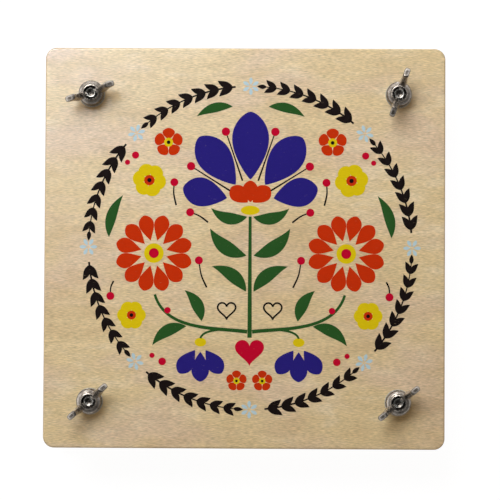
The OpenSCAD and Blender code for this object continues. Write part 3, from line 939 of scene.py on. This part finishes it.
def softSheet(node, draws):
    # the rim runs along the cut outline with a few slow sine waves added, and its section is a half circle
    low, high = nodeBox(node)
    outline = octagon(node)
    t = np.linspace(0, 1, blotter["sideCount"], endpoint=False)[:, None]
    rim = np.vstack([a + (b - a) * t for a, b in zip(outline, np.roll(outline, -1, axis=0))])
    turn = fullTurn(len(rim))
    waves = sum(size * np.sin(turns * turn + phase) for turns, size, phase in draws)
    outward = rim / np.linalg.norm(rim, axis=1)[:, None]
    rim = rim - outward * (blotter["unevenness"] * (1 + waves))[:, None]
    half = (high[2] - low[2]) / 2
    angle = np.linspace(-math.pi / 2, math.pi / 2, blotter["rimRings"])[:, None, None]
    inner = rim[None] * blotter["innerRing"]
    flat = np.concatenate([inner, rim - outward * half * (1 - np.cos(angle)), inner])
    height = low[2] + half * (1 + np.sin(np.concatenate([angle[:1], angle, angle[-1:]])))
    return shell(np.concatenate([flat, np.broadcast_to(height, flat.shape[:2] + (1,))], axis=-1))


random = np.random.default_rng(blotter["seed"])
paperSurface = blotterMaterial("blotting paper")
for node in sorted(nodes):
    if node.startswith("corrugated_card"):
        dress(node, kraftMaterial("kraft card " + node[-1], kraftCard["seedStep"] * int(node[-1])))
    if node.startswith("blotting_paper"):
        draws = [(turns, random.uniform(*blotter["waveSize"]), random.uniform(0, 2 * math.pi))
                 for turns in blotter["waves"]]
        makePiece("soft_" + node, [softSheet(node, draws)], paperSurface, node, [node],
                  blotter["sharpAngle"])
print("cards and papers made")


# Studio: a white floor, an even sky and one soft window of light from the upper left

studio = {
    "white": (1.0, 1.0, 1.0, 1.0),
    "skyColour": (1.12, 0.93, 0.71, 1.0), "skyStrength": 0.24,
    "underColour": (0.94, 0.91, 0.86, 1.0), "underStrength": 0.8,    # the light from below
    "underRange": (0.0, -0.05),
    # lamps: place, size, power and colour
    "window": ((-0.34, 0.62, 0.87), 0.85, 14.4, (0.86, 0.935, 1.09)),
    "sheen": ((-0.30, 0.40, 0.72), 0.35, 2.1, (0.7, 0.97, 1.4)), "sheenSpread": 90.0,
    # what metal mirrors: the window, the darker sky overhead, and its brighter and darker sides
    "windowWay": (-0.217, 0.521, 0.825), "windowRange": (0.965, 0.985, 0.0, 15.0),
    "overheadRange": (0.2, 0.95, 1.0, 0.18),
    "brightWay": (-0.6, 0.8, 0.0), "sideRange": (-0.8, 0.8, 0.3, 1.5),
    "floorShade": (0.1, 0.1, 0.1, 1.0), "floorLit": (0.8, 0.8, 0.8, 1.0), "floorGlow": 0.96,
    "floorSize": 6.0, "floorDrop": 0.00002, "floorReach": 0.005,
}


def seenByEye(n):
    # 1 for what the camera, a reflection or a clear body sees, 0 for light on its way to a surface
    path = n.add("LightPath")
    seen = n.calc("MAXIMUM", path.outputs["Is Camera Ray"], path.outputs["Is Glossy Ray"])
    return n.calc("MAXIMUM", seen, path.outputs["Is Transmission Ray"])


def makeFloor():
    # White and faintly shadowed from above. It is clear from below and to a ray that starts right above
    # it, so the underside can be seen and lit.
    look = studio
    material = bpy.data.materials.new("white floor")
    n = Nodes(material)
    n.tree.nodes.clear()
    glow = n.add("Emission", {"Color": look["white"], "Strength": look["floorGlow"]})
    weak = n.add("BsdfDiffuse", {"Color": look["floorShade"]})
    full = n.add("BsdfDiffuse", {"Color": look["floorLit"]})
    white = n.add("AddShader", {0: glow.outputs[0], 1: weak.outputs[0]})
    chosen = n.add("MixShader", {0: seenByEye(n), 1: full.outputs[0], 2: white.outputs[0]})
    behind = n.add("NewGeometry").outputs["Backfacing"]
    near = n.calc("LESS_THAN", n.add("LightPath").outputs["Ray Length"], look["floorReach"])
    clear = n.add("BsdfTransparent").outputs[0]
    isClear = n.calc("MAXIMUM", behind, near)
    sided = n.add("MixShader", {0: isClear, 1: chosen.outputs[0], 2: clear})
    n.add("OutputMaterial", {0: sided.outputs[0]})
    half, drop = look["floorSize"] / 2, -look["floorDrop"]
    mesh = bpy.data.meshes.new("floor")
    rim = [(-half, -half, drop), (half, -half, drop), (half, half, drop), (-half, half, drop)]
    mesh.from_pydata(rim, [], [(0, 1, 2, 3)])
    mesh.materials.append(material)
    floor = newObject("floor", mesh)


def towards(n, place, way):
    # how far a direction leans to another, as the cosine of the angle between them
    return n.add("VectorMath", {0: place, 1: way}, operation="DOT_PRODUCT").outputs["Value"]


def makeSky():
    # Plain light on surfaces, brighter from below. The eye sees it white, and metal mirrors it darker
    # overhead and brighter towards the window.
    look = studio
    world = bpy.data.worlds.new("studio")
    n = Nodes(world)
    n.tree.nodes.clear()
    place = n.add("TexCoord").outputs["Generated"]
    height = n.split(place)[2]
    overhead = n.between(height, *look["overheadRange"])
    sideways = n.between(towards(n, place, look["brightWay"]), *look["sideRange"])
    window = n.between(towards(n, place, look["windowWay"]), *look["windowRange"])
    mirrored = n.plus(n.times(overhead, sideways), window)
    inMetal = n.add("LightPath").outputs["Is Glossy Ray"]
    eye = seenByEye(n)
    under = n.between(height, *look["underRange"])
    plain = n.blendValue(under, look["skyStrength"], look["underStrength"])
    tone = n.blendValue(eye, plain, n.blendValue(inMetal, 1.0, mirrored))
    tint = n.blend(under, look["skyColour"], look["underColour"])
    background = n.add("Background", {"Color": n.blend(eye, tint, look["white"]), "Strength": tone})
    n.add("OutputWorld", {0: background.outputs[0]})
    bpy.context.scene.world = world


def makeLamp(name, place, size, power, colour):
    # a square lamp that faces straight down and isn't seen
    light = bpy.data.lights.new(name, "AREA")
    light.shape = "SQUARE"
    light.size = size
    light.energy = power
    light.color = colour
    lamp = newObject(name, light)
    lamp.location = place
    lamp.visible_camera = False
    return lamp


def makeWindow():
    # One lamp is the window's light, while metal mirrors the sky's window instead. The other adds the
    # sheen that the boards alone show next to the window.
    makeLamp("window", *studio["window"]).visible_glossy = False
    sheen = makeLamp("sheen of the window", *studio["sheen"])
    sheen.visible_diffuse = False
    sheen.data.spread = math.radians(studio["sheenSpread"])
    boards = bpy.data.collections.new("boards")
    for node in ("bottom_board", "top_board"):
        boards.objects.link(nodes[node])
    sheen.light_linking.receiver_collection = boards


makeFloor()
makeSky()
makeWindow()


# Camera, almost straight above, as in the photograph

view = {"place": (0.0235, -0.0456, 1.241), "turn": (2.132, 0.977, 0.308), "lens": 173.3, "sensor": 36.0,
        "farthest": 30.0}
lens = bpy.data.cameras.new("camera")
lens.lens = view["lens"]
lens.sensor_width = view["sensor"]
lens.clip_end = view["farthest"]
camera = newObject("camera", lens)
camera.location = view["place"]
camera.rotation_euler = [math.radians(a) for a in view["turn"]]
bpy.context.scene.camera = camera
bpy.context.scene.view_settings.view_transform = "Standard"
print("studio and camera set")
